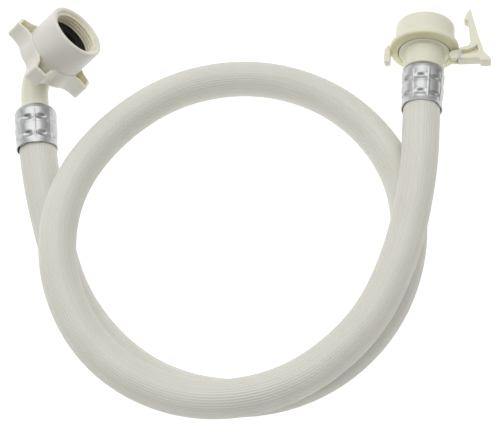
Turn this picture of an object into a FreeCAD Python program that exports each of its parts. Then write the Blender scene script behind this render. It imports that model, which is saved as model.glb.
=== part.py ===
import FreeCAD, Part
import math
import os
import Sketcher

# Washing-machine supply hose: a 1 m reinforced hose lying in a loop, with a winged nut on an
# elbow at the machine end and a quick-connect tap coupler with a hook lever at the other.
# Millimetres, +Z up. The origin is on the table under the middle of the two fittings.

V = FreeCAD.Vector
ROTATION = FreeCAD.Rotation
PLACEMENT = FreeCAD.Placement

# Hose route, machine end first: straight runs whose corners are rounded by tangent arcs.
ROUTE = [
    (-116.7, -17, 13.7), (-113.7, -44, 14), (-105.5, -81, 9.8), (-90, -127.5, 10),
    (-55.5, -163.5, 10), (-11, -177, 10), (34, -167.5, 10), (69.5, -136, 10.5),
    (86, -90, 10.5), (79.5, -44, 10), (49, -7.5, 10), (5.5, 7.5, 11),
    (-40, -1, 13.5), (-76, -31, 19), (-97.5, -73, 28.5), (-97.5, -119, 30.5),
    (-74.5, -160, 28.5), (-32, -181.5, 28.5), (16, -176.5, 30), (55.5, -147, 30.5),
    (76, -108, 30), (87.5, -62, 30.5), (92, -19.5, 22.4), (94.4, 2.8, 20.8),
]
ARC_SHARE = 0.45

FERRULE_TOP = V(-116.85, -15.6, 13.7)
ELBOW_RUN = 23.0
NUT_AZIMUTH = 25.6
NUT_ELEVATION = 38.5
NUT_SPIN = -50.3
NUT_STANDOFF = 9.0
COUPLER_BASE = V(96.0, 18.0, 19.4)
COUPLER_YAW = -6.0
COUPLER_PITCH = -5.0
COUPLER_ROLL = -12.0

SIZES = {
    # hose, by layers
    "hose_bore": 6.0, "liner_outer": 7.8, "braid_outer": 8.5, "hose_outer": 9.75,
    # crimped ferrules
    "crimp_bore": 9.65, "crimp_top": 10.3, "crimp_bulge": 11.4, "crimp_waist": 10.8,
    "crimp_lip": 11.2, "crimp_lip_bore": 10.3, "crimp_length": 24.2,
    "dimple_floor": 10.15, "dimple_high": 1.7,
    "elbow_hole": 7.5, "tail_hole": 6.3,
    # elbow and its barbed tail
    "waterway": 4.4, "tail_root": 5.9, "tail_barb": 6.2, "tail_length": 25.0,
    "barb_pitch": 5.0, "elbow_tube": 7.4, "elbow_bend": 19.0, "head_outer": 11.6,
    "head_thick": 3.5, "head_top": 27.3,
    # winged nut, heights from its base
    "nut_length": 29.0, "nut_outer": 16.4, "nut_skirt": 17.0, "skirt_top": 11.0,
    "nut_rim": 15.6, "nut_rim_start": 28.2, "nut_mouth": 14.2, "nut_lead": 13.5,
    "lead_top": 28.3, "thread_top": 27.2, "thread_minor": 12.06, "thread_end": 21.3,
    "relief": 13.0, "nut_floor": 14.5, "floor_hole": 7.75, "base_depth": 10.3,
    "base_bore": 12.0, "wing_reach": 25.3, "wing_half": 4.3, "wing_blend": 10.9,
    "wing_slope_reach": 27.0, "wing_slope_low": 8.9, "wing_slope_high": 12.0,
    "wing_floor": 2.0, "wing_core": 9.0,
    # flat gasket
    "gasket_hole": 5.5, "gasket_outer": 11.7, "gasket_low": 18.3, "gasket_high": 21.3,
    # coupler body, heights from the sleeve's hose face
    "neck_outer": 11.15, "neck_low": 14.2, "shoulder_low": 2.3, "shoulder_high": 1.0,
    "shoulder_outer": 13.9, "socket_outer": 10.8, "socket_bore": 8.3, "socket_floor": 1.5,
    "socket_lead": 8.6, "lead_low": 9.9, "socket_end": 15.4,
    "ring_groove": 10.5, "ring_low": 14.0, "ring_high": 15.0, "ring_outer": 12.9,
    "window_low": 10.2, "window_high": 13.3, "window_half": 2.6, "pocket_half": 3.6,
    "pocket_start": 9.8,
    "seal_hole": 6.2, "seal_high": 4.6, "seal_outer": 8.7, "seal_seat": 4.8,
    # jaws
    "jaw_nose": 7.5, "jaw_step": 9.95, "jaw_low": 10.5, "jaw_high": 13.0, "jaw_half": 2.3,
    "jaw_head_half": 3.3, "jaw_face_low": 11.0, "jaw_face_high": 11.65, "jaw_blank": 12.5,
    "jaw_ramp": 8.5, "jaw_ramp_low": 12.0,
    # release sleeve
    "flange_outer": 19.0, "flange_high": 2.6, "flange_round": 0.8, "skirt_low": 2.0,
    "cup_outer": 16.2, "cup_end": 15.3, "cup_round": 2.2, "chamber": 14.4,
    "ledge": 10.0, "cone_small": 11.0,
    "cone_large": 11.925, "cone_end": 13.7, "mouth_bore": 13.5, "tab_half": 2.5,
    # hinge and lever
    "pin_out": 16.5, "pin_drop": 4.8, "pin_round": 1.2, "pin_long": 5.2,
    "lever_hole": 1.27, "lever_hole_long": 5.4,
    "tongue_half": 1.4, "tongue_round": 2.1, "knuckle_round": 2.7, "lever_half": 3.2,
    "slot_half": 1.7, "slot_end": 18.9, "recess_deep": 2.4,
    # sleeve spring
    "spring_wire": 0.45, "spring_round": 12.65, "spring_pitch": 2.0, "spring_high": 8.0,
    "spring_low": 1.47,
}
JAWS = 4
WINGS = 4
DIMPLES = 8
DIMPLE_ROWS = (9.2, 19.0)
BARBS = 4

os.makedirs("parts", exist_ok=True)
doc = FreeCAD.newDocument("supply_line")
sheet = doc.addObject("Spreadsheet::Sheet", "Sizes")
for row, (alias, size) in enumerate(SIZES.items(), start=1):
    sheet.set("A%d" % row, alias)
    sheet.set("B%d" % row, str(size))
    sheet.setAlias("B%d" % row, alias)
doc.recompute()


def number(term):
    """A size by its name, by "-name", or as a plain number."""
    if not isinstance(term, str):
        return float(term)
    return -SIZES[term[1:]] if term.startswith("-") else SIZES[term]


def bind(thing, prop, term):
    """Tie a property to a size in the sheet."""
    if not isinstance(term, str):
        setattr(thing, prop, term)
    elif term.startswith("-"):
        thing.setExpression(prop, "-Sizes." + term[1:])
    else:
        thing.setExpression(prop, "Sizes." + term)


def origin_feature(body, role):
    return next(f for f in body.Origin.OriginFeatures if f.Role == role)


def new_body(label, placement):
    body = doc.addObject("PartDesign::Body", label)
    body.Label = label
    body.Placement = placement
    return body


def new_sketch(body, name, role, offset=0.0):
    sketch = body.newObject("Sketcher::SketchObject", name)
    sketch.AttachmentSupport = [(origin_feature(body, role), "")]
    sketch.MapMode = "FlatFace"
    sketch.AttachmentOffset = PLACEMENT(V(0, 0, offset), ROTATION())
    return sketch


def dimension(sketch, kind, where, term):
    """Add one dimension and tie it to the sheet when it is a named size."""
    index = sketch.addConstraint(Sketcher.Constraint(kind, *where, number(term)))
    if isinstance(term, str):
        sketch.renameConstraint(index, "%s_%d" % (term.strip("-"), index))
        bind(sketch, "Constraints.%s_%d" % (term.strip("-"), index), term)


def arc_between(start, end, radius):
    """Arc from start to end: it turns left for a positive radius and right for a negative."""
    chord = end - start
    half = chord.Length / 2
    side = V(-chord.y, chord.x, 0) / chord.Length
    centre = start + chord / 2 + side * math.copysign(math.sqrt(radius ** 2 - half ** 2), radius)
    first, last = (start, end) if radius > 0 else (end, start)
    angles = [math.atan2(p.y - centre.y, p.x - centre.x) for p in (first, last)]
    if angles[1] < angles[0]:
        angles[1] += 2 * math.pi
    return Part.ArcOfCircle(Part.Circle(centre, V(0, 0, 1), abs(radius)), *angles)


def outline(body, name, role, points, offset=0.0):
    """Closed sketch through the points. A third entry makes the edge after it an arc."""
    sketch = new_sketch(body, name, role, offset)
    corners = [V(number(p[0]), number(p[1]), 0) for p in points]
    ends = []
    for i, point in enumerate(points):
        start = corners[i]
        end = corners[(i + 1) % len(points)]
        if len(point) == 3:
            radius = number(point[2])
            sketch.addGeometry(arc_between(start, end, radius))
            dimension(sketch, "Radius", (i,), point[2].strip("-") if isinstance(point[2], str)
                      else abs(radius))
            ends.append((1, 2) if radius > 0 else (2, 1))
        else:
            sketch.addGeometry(Part.LineSegment(start, end))
            ends.append((1, 2))
    for i, point in enumerate(points):
        following = (i + 1) % len(points)
        sketch.addConstraint(
            Sketcher.Constraint("Coincident", i, ends[i][1], following, ends[following][0]))
        dimension(sketch, "DistanceX", (-1, 1, i, ends[i][0]), point[0])
        dimension(sketch, "DistanceY", (-1, 1, i, ends[i][0]), point[1])
    return sketch


def round_sketch(body, name, role, x, y, radius):
    sketch = new_sketch(body, name, role)
    sketch.addGeometry(Part.Circle(V(number(x), number(y), 0), V(0, 0, 1), number(radius)))
    dimension(sketch, "DistanceX", (-1, 1, 0, 3), x)
    dimension(sketch, "DistanceY", (-1, 1, 0, 3), y)
    dimension(sketch, "Radius", (0,), radius)
    return sketch


def turn(body, name, points, kind="PartDesign::Revolution"):
    """Turn a profile of (radius, height) points about the body's Z axis."""
    feature = body.newObject(kind, name)
    feature.Profile = outline(body, name + "_profile", "XZ_Plane", points)
    feature.ReferenceAxis = (origin_feature(body, "Z_Axis"), [""])
    feature.Angle = 360.0
    return feature


def extrude(body, name, sketch, length, kind="PartDesign::Pad", both=False, back=False):
    feature = body.newObject(kind, name)
    feature.Profile = sketch
    feature.Midplane = both
    feature.Reversed = back
    bind(feature, "Length", length)
    return feature


def around(body, name, features, count):
    """Repeat features about the body's Z axis."""
    pattern = body.newObject("PartDesign::PolarPattern", name)
    pattern.Originals = features
    pattern.Axis = (origin_feature(body, "Z_Axis"), [""])
    pattern.Angle = 360.0
    pattern.Occurrences = count
    body.Tip = pattern
    return pattern


def facing(z_axis, x_axis):
    return ROTATION(x_axis, z_axis.cross(x_axis), z_axis, "ZXY")


# Frames of the fittings.
machine_axis = (V(*ROUTE[0]) - V(*ROUTE[1])).normalize()
ferrule_side = machine_axis.cross(V(0, 0, 1)).normalize()
machine_ferrule_frame = PLACEMENT(FERRULE_TOP, facing(machine_axis, ferrule_side))
elbow_corner = FERRULE_TOP + machine_axis * ELBOW_RUN
nut_rotation = (ROTATION(V(0, 0, 1), NUT_AZIMUTH) * ROTATION(V(0, 1, 0), 90 - NUT_ELEVATION)
                * ROTATION(V(0, 0, 1), NUT_SPIN))
nut_axis = nut_rotation.multVec(V(0, 0, 1))
nut_frame = PLACEMENT(elbow_corner + nut_axis * NUT_STANDOFF, nut_rotation)
elbow_turn = math.degrees(machine_axis.getAngle(nut_axis))
elbow_side = (nut_axis * nut_axis.dot(machine_axis) - machine_axis).normalize()
elbow_frame = PLACEMENT(elbow_corner, facing(nut_axis, elbow_side))
# Coupler frame: X out of the lever's face, Y toward the lever, Z out of the mouth.
coupler_frame = PLACEMENT(
    COUPLER_BASE,
    ROTATION(V(0, 0, 1), COUPLER_YAW) * ROTATION(V(1, 0, 0), COUPLER_PITCH)
    * ROTATION(V(0, 1, 0), COUPLER_ROLL) * ROTATION(V(0, 0, 1), V(1, 0, 0), V(0, 1, 0), "ZXY"))
tap_ferrule_frame = coupler_frame * PLACEMENT(V(0, 0, -SIZES["neck_low"]), ROTATION())


# Hose.
def rounded_route(points):
    """Wire of straight runs and tangent arcs, and the arcs' radii."""
    corners = [V(*p) for p in points]
    edges = []
    radii = []
    start = corners[0]
    for before, corner, after in zip(corners, corners[1:], corners[2:]):
        to_corner = (corner - before).normalize()
        from_corner = (after - corner).normalize()
        reach = ARC_SHARE * min((corner - before).Length, (after - corner).Length)
        half_turn = to_corner.getAngle(from_corner) / 2
        radius = reach / math.tan(half_turn)
        first = corner - to_corner * reach
        last = corner + from_corner * reach
        inward = (from_corner - to_corner).normalize()
        middle = corner + inward * (radius / math.cos(half_turn) - radius)
        edges.append(Part.LineSegment(start, first).toShape())
        edges.append(Part.Arc(first, middle, last).toShape())
        radii.append(radius)
        start = last
    edges.append(Part.LineSegment(start, corners[-1]).toShape())
    return Part.Wire(edges), radii


route_wire, route_radii = rounded_route(ROUTE)
route = doc.addObject("Part::Feature", "hose_route")
route.Shape = route_wire
route_edges = ["Edge%d" % (i + 1) for i in range(len(route_wire.Edges))]
start_turn = ROTATION(V(0, 0, 1), V(*ROUTE[1]) - V(*ROUTE[0]))


def hose_core(name, radius):
    """Solid round bar along the route."""
    section = doc.addObject("Part::Circle", name + "_section")
    section.Placement = PLACEMENT(V(*ROUTE[0]), start_turn)
    bind(section, "Radius", radius)
    core = doc.addObject("Part::Sweep", name)
    core.Sections = [section]
    core.Spine = (route, route_edges)
    core.Solid = True
    core.Frenet = False
    return core


LAYERS = ["hose_bore", "liner_outer", "braid_outer", "hose_outer"]
cores = {layer: hose_core(layer + "_core", layer) for layer in LAYERS}
exported = []
for label, outer, inner in (("hose_liner", "liner_outer", "hose_bore"),
                            ("hose_braid", "braid_outer", "liner_outer"),
                            ("hose_cover", "hose_outer", "braid_outer")):
    layer = doc.addObject("Part::Cut", label)
    layer.Label = label
    layer.Base = cores[outer]
    layer.Tool = cores[inner]
    exported.append(layer)


# Ferrules: Z out of the hose end, the top edge at zero.
def ferrule(label, frame, hole):
    body = new_body(label, frame)
    turn(body, label + "_shell", [
        (hole, -0.9), (hole, 0), (9.4, 0, -1.2), ("crimp_top", -0.5), ("crimp_bulge", -3.0),
        (11.2, -6.2), ("crimp_waist", -9.2), ("crimp_bulge", -12.8), (11.1, -16.0),
        ("crimp_waist", -19.0), (10.8, -21.8), ("crimp_lip", "-crimp_length"),
        ("crimp_lip_bore", "-crimp_length"), ("crimp_bore", -21.0), ("crimp_bore", -0.9),
    ])
    for row, depth in enumerate(DIMPLE_ROWS):
        low = -depth - SIZES["dimple_high"]
        high = -depth + SIZES["dimple_high"]
        dimple = extrude(body, "%s_dimple%d" % (label, row), outline(
            body, "%s_oval%d" % (label, row), "YZ_Plane", [
                (-1.4, low), (1.4, low, "dimple_high"), (1.4, high),
                (-1.4, high, "dimple_high")], SIZES["dimple_floor"]),
            3.0, "PartDesign::Pocket", back=True)
        around(body, "%s_row%d" % (label, row), [dimple], DIMPLES)
    exported.append(body)


ferrule("machine_end_ferrule", machine_ferrule_frame, "elbow_hole")
ferrule("tap_end_ferrule", tap_ferrule_frame, "tail_hole")


# Elbow: Z toward the nut's mouth, X toward the hose side, the corner of the bend at zero.
def primitive(kind, name, placement, **sizes):
    thing = doc.addObject(kind, name)
    thing.Placement = placement
    for prop, term in sizes.items():
        bind(thing, prop, term)
    return thing


bend_reach = SIZES["elbow_bend"] * math.tan(math.radians(elbow_turn) / 2)
tail_turn = ROTATION(V(0, 1, 0), 180 - elbow_turn)
tail_axis = tail_turn.multVec(V(0, 0, 1))
bend_place = PLACEMENT(V(SIZES["elbow_bend"], 0, bend_reach),
                       ROTATION(V(-1, 0, 0), V(0, 0, -1), V(0, -1, 0), "ZXY"))


def elbow_run(name, radius, overrun):
    """Head run, bend and tail run of one radius; overrun lengthens the head run."""
    return [
        primitive("Part::Cylinder", name + "_head", PLACEMENT(V(0, 0, bend_reach), ROTATION()),
                  Radius=radius, Height=SIZES["head_top"] - bend_reach + overrun),
        primitive("Part::Torus", name + "_bend", bend_place, Radius1="elbow_bend",
                  Radius2=radius, Angle3=elbow_turn),
    ]


skin = elbow_run("elbow_skin", "elbow_tube", 0)
skin.append(primitive("Part::Cylinder", "elbow_skin_run",
                      PLACEMENT(tail_axis * bend_reach, tail_turn),
                      Radius="elbow_tube", Height=ELBOW_RUN + 0.9 - bend_reach))
skin.append(primitive("Part::Cylinder", "elbow_head",
                      PLACEMENT(V(0, 0, SIZES["head_top"] - SIZES["head_thick"]), ROTATION()),
                      Radius="head_outer", Height="head_thick"))
skin.append(primitive("Part::Cylinder", "elbow_tail_root",
                      PLACEMENT(tail_axis * ELBOW_RUN, tail_turn),
                      Radius="tail_root", Height="tail_length"))
for barb in range(BARBS):
    start = ELBOW_RUN + 3.0 + barb * SIZES["barb_pitch"]
    skin.append(primitive("Part::Cone", "elbow_barb%d" % barb,
                          PLACEMENT(tail_axis * start, tail_turn), Radius1="tail_barb",
                          Radius2="tail_root", Height=SIZES["barb_pitch"] - 1.0))
waterway = elbow_run("elbow_way", "waterway", 1.0)
waterway.append(primitive("Part::Cylinder", "elbow_way_run",
                          PLACEMENT(tail_axis * bend_reach, tail_turn), Radius="waterway",
                          Height=ELBOW_RUN + SIZES["tail_length"] + 1.0 - bend_reach))
elbow_outside = doc.addObject("Part::MultiFuse", "elbow_outside")
elbow_outside.Shapes = skin
elbow_inside = doc.addObject("Part::MultiFuse", "elbow_inside")
elbow_inside.Shapes = waterway
elbow = doc.addObject("Part::Cut", "elbow_tail")
elbow.Label = "elbow_tail"
elbow.Base = elbow_outside
elbow.Tool = elbow_inside
elbow.Placement = elbow_frame
exported.append(elbow)

# Winged nut: Z out of its mouth, the base at zero.
nut = new_body("wing_nut", nut_frame)
turn(nut, "nut_barrel", [
    ("base_bore", 0), (16.6, 0), ("nut_skirt", 0.4), ("nut_skirt", "skirt_top"),
    ("nut_outer", "skirt_top"), ("nut_outer", "nut_rim_start"), ("nut_rim", "nut_length"),
    ("nut_mouth", "nut_length"), ("nut_lead", "lead_top"), ("nut_lead", 27.7),
    ("thread_minor", "thread_top"), ("thread_minor", "thread_end"), ("relief", "thread_end"),
    ("relief", "nut_floor"), ("floor_hole", "nut_floor"), ("floor_hole", "base_depth"),
    ("base_bore", "base_depth"),
])
blend_angle = math.radians(33.0)
root_x = SIZES["nut_skirt"] * math.cos(blend_angle)
root_y = SIZES["nut_skirt"] * math.sin(blend_angle)
wing = extrude(nut, "nut_wing", outline(nut, "nut_wing_outline", "XY_Plane", [
    (root_x, root_y), (root_x, -root_y, "-wing_blend"), (23.9, "-wing_half", 1.4),
    ("wing_reach", -2.9), ("wing_reach", 2.9, 1.4), (23.9, "wing_half", "-wing_blend"),
]), "skirt_top")
around(nut, "nut_wings", [wing], WINGS)
turn(nut, "nut_wing_slope", [
    ("nut_skirt", "skirt_top"), ("wing_slope_reach", "wing_slope_low"),
    ("wing_slope_reach", "wing_slope_high")], "PartDesign::Groove")
core_pocket = extrude(nut, "nut_wing_core", outline(nut, "nut_core_outline", "XY_Plane", [
    (16.02, -5.7), (19.2, -3.55), (23.7, -2.75), (23.7, 2.75), (19.2, 3.55),
    (16.02, 5.7, "-nut_skirt")], SIZES["wing_floor"]), "wing_core", "PartDesign::Pocket",
    back=True)
around(nut, "nut_wing_cores", [core_pocket], WINGS)
exported.append(nut)

gasket = new_body("nut_gasket", nut_frame)
turn(gasket, "gasket_ring", [
    ("gasket_hole", "gasket_low"), ("gasket_outer", "gasket_low"),
    ("gasket_outer", "gasket_high"), ("gasket_hole", "gasket_high")])
exported.append(gasket)

# Tap coupler.
coupler = new_body("coupler_body", coupler_frame)
tail_end = -SIZES["neck_low"] - SIZES["tail_length"]
barbs = []
for barb in range(BARBS):
    low = tail_end + 1.0 + barb * SIZES["barb_pitch"]
    barbs += [("tail_root", low), ("tail_barb", low + SIZES["barb_pitch"] - 1.0),
              ("tail_root", low + SIZES["barb_pitch"] - 1.0)]
turn(coupler, "coupler_turning", [
    ("waterway", tail_end), ("tail_root", tail_end)] + barbs + [
    ("tail_root", "-neck_low"), ("neck_outer", "-neck_low"), ("neck_outer", "-shoulder_low"),
    ("shoulder_outer", "-shoulder_low"), ("shoulder_outer", "shoulder_high"),
    ("socket_outer", "shoulder_high"), ("socket_outer", "ring_low"),
    ("ring_groove", "ring_low"), ("ring_groove", "ring_high"), ("socket_outer", "ring_high"),
    ("socket_outer", "socket_end"), ("socket_lead", "socket_end"),
    ("socket_lead", "lead_low"), ("socket_bore", "lead_low"), ("socket_bore", "seal_seat"),
    ("seal_outer", "seal_seat"), ("seal_outer", "socket_floor"), ("waterway", "socket_floor")])
window = extrude(coupler, "jaw_window", outline(coupler, "jaw_window_outline", "YZ_Plane", [
    ("-window_half", "window_low"), ("window_half", "window_low"),
    ("window_half", "window_high"), ("-window_half", "window_high")]),
    12.0, "PartDesign::Pocket", back=True)
pocket = extrude(coupler, "jaw_pocket", outline(coupler, "jaw_pocket_outline", "YZ_Plane", [
    ("-pocket_half", "window_low"), ("pocket_half", "window_low"),
    ("pocket_half", "window_high"), ("-pocket_half", "window_high")],
    SIZES["pocket_start"]), 4.0, "PartDesign::Pocket", back=True)
around(coupler, "jaw_windows", [window, pocket], JAWS)
exported.append(coupler)

seal = new_body("lip_seal", coupler_frame)
turn(seal, "seal_ring", [
    ("seal_hole", "socket_floor"), ("seal_outer", "socket_floor"),
    ("seal_outer", "seal_high"), (7.7, "seal_high"), (7.1, 3.3), (6.6, "seal_high")])
exported.append(seal)

stop_ring = new_body("sleeve_stop_ring", coupler_frame)
turn(stop_ring, "stop_ring_turning", [
    ("ring_groove", "ring_low"), ("ring_outer", "ring_low"), ("ring_outer", "ring_high"),
    ("ring_groove", "ring_high")])
exported.append(stop_ring)

for index in range(JAWS):
    quarter = PLACEMENT(V(0, 0, 0), ROTATION(V(0, 0, 1), 90.0 * index))
    jaw = new_body("locking_jaw_%d" % (index + 1), coupler_frame * quarter)
    extrude(jaw, "jaw_nose_%d" % index, outline(
        jaw, "jaw_nose_outline_%d" % index, "XZ_Plane", [
            ("jaw_nose", "jaw_low"), ("jaw_step", "jaw_low"), ("jaw_step", "jaw_high"),
            ("jaw_ramp", "jaw_high"), ("jaw_nose", "jaw_ramp_low")]),
        2 * SIZES["jaw_half"], both=True)
    extrude(jaw, "jaw_head_%d" % index, outline(
        jaw, "jaw_head_outline_%d" % index, "XZ_Plane", [
            ("jaw_step", "jaw_low"), ("jaw_blank", "jaw_low"), ("jaw_blank", "jaw_high"),
            ("jaw_step", "jaw_high")]), 2 * SIZES["jaw_head_half"], both=True)
    turn(jaw, "jaw_face_%d" % index, [
        ("jaw_face_low", "jaw_low"), (14.0, "jaw_low"), (14.0, "jaw_high"),
        ("jaw_face_high", "jaw_high")], "PartDesign::Groove")
    exported.append(jaw)

sleeve = new_body("release_sleeve", coupler_frame)
turn(sleeve, "sleeve_turning", [
    ("chamber", "-skirt_low"), (18.2, -1.2, "flange_round"), ("flange_outer", -0.4),
    ("flange_outer", 1.8, "flange_round"), (18.2, "flange_high"), ("cup_outer", "flange_high"),
    ("cup_outer", 13.1, "cup_round"), (14.0, "cup_end"), ("mouth_bore", "cup_end"),
    ("mouth_bore", "cone_end"), ("cone_large", "cone_end"), ("cone_small", "ledge"),
    ("chamber", "ledge")])
extrude(sleeve, "finger_tab", outline(sleeve, "finger_tab_outline", "YZ_Plane", [
    (-18.0, 0.2), (-18.0, 2.4), (-19.4, 3.2), (-20.4, 2.7), (-21.9, 0), (-21.9, -7.2),
    (-21.0, -8.3), (-19.2, -8.3), (-18.4, -7.2), (-18.4, 0.2)]),
    2 * SIZES["tab_half"], both=True)
extrude(sleeve, "hinge_tongue", outline(sleeve, "hinge_tongue_outline", "YZ_Plane", [
    (14.4, 0.6), (14.4, -4.8, 2.1001), (18.6, -4.8), (18.4, 0.6)]),
    2 * SIZES["tongue_half"], both=True)
extrude(sleeve, "hinge_hole", round_sketch(
    sleeve, "hinge_hole_outline", "YZ_Plane", "pin_out", "-pin_drop", "pin_round"),
    10.0, "PartDesign::Pocket", both=True)
exported.append(sleeve)

pin = new_body("lever_pin", coupler_frame)
extrude(pin, "pin_turning", round_sketch(
    pin, "pin_outline", "YZ_Plane", "pin_out", "-pin_drop", "pin_round"),
    "pin_long", both=True)
exported.append(pin)

lever = new_body("hook_lever", coupler_frame)
extrude(lever, "lever_blank", outline(lever, "lever_outline", "YZ_Plane", [
    (24.2, 25.2), (22.4, 22.5), (21.1, 18.1), (23.6, 17.3), (24.0, 12.2), (24.8, 6.8),
    (25.3, 4.3), (24.4, 1.2), (22.3, 0.3), (20.0, 0.1), (19.4, -0.5), (19.4, -1.2),
    (18.4, -2.0), (18.4, -7.0), (19.2, -7.8), (29.6, -7.7), (31.0, -9.3), (35.8, -9.5),
    (36.3, -7.9), (32.5, -3.8),
    (30.3, 3.9), (27.4, 14.1), (24.9, 25.0)]), 2 * SIZES["lever_half"], both=True)
extrude(lever, "lever_knuckle", round_sketch(
    lever, "knuckle_outline", "YZ_Plane", "pin_out", "-pin_drop", "knuckle_round"),
    2 * SIZES["lever_half"], both=True)
extrude(lever, "lever_slot", outline(lever, "lever_slot_outline", "YZ_Plane", [
    (13.0, -9.0), ("slot_end", -9.0), ("slot_end", 1.0), (13.0, 1.0)]),
    2 * SIZES["slot_half"], "PartDesign::Pocket", both=True)
extrude(lever, "lever_pin_hole", round_sketch(
    lever, "lever_hole_outline", "YZ_Plane", "pin_out", "-pin_drop", "lever_hole"),
    "lever_hole_long", "PartDesign::Pocket", both=True)
for side, outward in (("upper", True), ("lower", False)):
    web = SIZES["lever_half"] - SIZES["recess_deep"]
    extrude(lever, "lever_recess_" + side, outline(
        lever, "lever_recess_outline_" + side, "YZ_Plane", [
            (20.6, -5.2), (25.1, -4.8), (28.6, -4.2), (29.3, -2.0), (28.7, 1.0),
            (27.1, -0.6), (24.2, -2.0), (20.6, -2.2)], web if outward else -web),
        "recess_deep", "PartDesign::Pocket", back=outward)
exported.append(lever)

helix = doc.addObject("Part::Helix", "spring_path")
bind(helix, "Pitch", "spring_pitch")
bind(helix, "Height", "spring_high")
bind(helix, "Radius", "spring_round")
wire_section = doc.addObject("Part::Circle", "spring_section")
wire_section.Placement = PLACEMENT(V(SIZES["spring_round"], 0, 0), ROTATION(V(1, 0, 0), 90))
bind(wire_section, "Radius", "spring_wire")
spring = doc.addObject("Part::Sweep", "sleeve_spring")
spring.Label = "sleeve_spring"
spring.Sections = [wire_section]
spring.Spine = (helix, ["Edge1"])
spring.Solid = True
spring.Frenet = True
spring.Placement = coupler_frame * PLACEMENT(V(0, 0, SIZES["spring_low"]), ROTATION())
exported.append(spring)

doc.recompute()
for thing in doc.Objects:
    if "Invalid" in thing.State or "Error" in thing.State:
        raise RuntimeError("%s did not build: %s" % (thing.Label, thing.State))
for thing in exported:
    shape = thing.Shape
    if shape.isNull() or not shape.isValid() or shape.Volume <= 0:
        raise RuntimeError(thing.Label + " has no valid solid")
    shape.exportStep("parts/%s.step" % thing.Label)

length = route_wire.Length
print("hose length %.1f mm, smallest arc radius %.1f mm" % (length, min(route_radii)))
print("arc radii", ", ".join("%.0f" % radius for radius in route_radii))
ring = math.pi * (SIZES["hose_outer"] ** 2 - SIZES["braid_outer"] ** 2)
cover = next(thing for thing in exported if thing.Label == "hose_cover")
print("cover volume %.0f mm3, section x length %.0f mm3" % (cover.Shape.Volume, ring * length))
box = FreeCAD.BoundBox()
for thing in exported:
    box.add(thing.Shape.BoundBox)
print("overall %.1f x %.1f x %.1f mm" % (box.XLength, box.YLength, box.ZLength))
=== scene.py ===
import math

import bmesh
import bpy
import numpy as np
from mathutils import Matrix, Vector


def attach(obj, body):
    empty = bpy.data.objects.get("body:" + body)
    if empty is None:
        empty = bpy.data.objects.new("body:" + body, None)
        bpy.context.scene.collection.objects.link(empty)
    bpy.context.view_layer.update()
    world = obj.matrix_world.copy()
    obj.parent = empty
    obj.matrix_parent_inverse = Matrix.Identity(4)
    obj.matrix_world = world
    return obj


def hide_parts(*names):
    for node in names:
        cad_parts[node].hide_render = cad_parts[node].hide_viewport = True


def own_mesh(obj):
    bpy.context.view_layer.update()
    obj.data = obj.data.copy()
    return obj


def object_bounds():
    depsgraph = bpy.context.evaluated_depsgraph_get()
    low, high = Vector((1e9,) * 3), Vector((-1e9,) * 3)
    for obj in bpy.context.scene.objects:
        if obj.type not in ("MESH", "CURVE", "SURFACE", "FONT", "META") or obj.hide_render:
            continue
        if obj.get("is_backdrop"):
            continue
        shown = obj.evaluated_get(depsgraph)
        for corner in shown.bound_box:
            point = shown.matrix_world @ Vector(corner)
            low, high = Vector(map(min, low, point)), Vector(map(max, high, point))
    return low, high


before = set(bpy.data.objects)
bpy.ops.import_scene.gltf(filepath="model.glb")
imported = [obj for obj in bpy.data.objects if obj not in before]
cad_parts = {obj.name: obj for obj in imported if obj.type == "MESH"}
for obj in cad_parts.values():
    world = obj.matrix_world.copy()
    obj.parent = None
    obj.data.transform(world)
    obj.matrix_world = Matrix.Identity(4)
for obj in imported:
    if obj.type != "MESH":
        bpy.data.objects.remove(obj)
CAD_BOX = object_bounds()
MM = 0.001  # Shapes are in millimetres, each in its own fitting's frame.

# ------------------------------------------------------------------ camera and light
ELEVATION = math.radians(67.61)
CAMERA_AT = (0.0, -0.3188, 0.6019)
LENS = 87.2
MIDDLE = (0.0, -0.08, 0.02)
DOME_STRENGTH = 0.62
DOME_BRIGHTEST = (-0.25, 0.45, 0.86)
DOME_LOW = (0.16, 0.15, 0.13, 1.0)
DOME_BETWEEN = (0.80, 0.79, 0.75, 1.0)
DOME_HIGH = (1.0, 0.995, 0.975, 1.0)

camera_data = bpy.data.cameras.new("camera")
camera_data.lens = LENS
camera_data.sensor_width = 36.0
camera_data.sensor_fit = "HORIZONTAL"
camera_data.clip_start = 0.01
camera_data.clip_end = 20.0
camera = bpy.data.objects.new("camera", camera_data)
camera.location = CAMERA_AT
camera.rotation_euler = (math.pi / 2 - ELEVATION, 0.0, 0.0)
bpy.context.scene.collection.objects.link(camera)
bpy.context.scene.camera = camera

view = bpy.context.scene.view_settings
view.view_transform = "Standard"
view.look = "None"
view.exposure = 0.0
view.gamma = 1.0


def area_light(name, position, target, size, power, colour):
    """A rectangular lamp turned towards its target."""
    data = bpy.data.lights.new(name, "AREA")
    data.shape = "RECTANGLE"
    data.size, data.size_y = size
    data.energy = power
    data.color = colour
    lamp = bpy.data.objects.new(name, data)
    lamp.location = position
    lamp.rotation_euler = (Vector(target) - Vector(position)).to_track_quat("-Z", "Y").to_euler()
    bpy.context.scene.collection.objects.link(lamp)


area_light("key", (-0.30, 0.30, 1.2), MIDDLE, size=(1.8, 1.5), power=8.6,
           colour=(1.0, 1.0, 0.99))
area_light("fill", (0.9, -0.3, 0.9), MIDDLE, size=(0.9, 0.9), power=1.2,
           colour=(1.0, 0.99, 0.96))

world = bpy.data.worlds.new("studio")
world.use_nodes = True
sky = world.node_tree.nodes["Background"]
sky.inputs["Strength"].default_value = DOME_STRENGTH
bpy.context.scene.world = world


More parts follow.
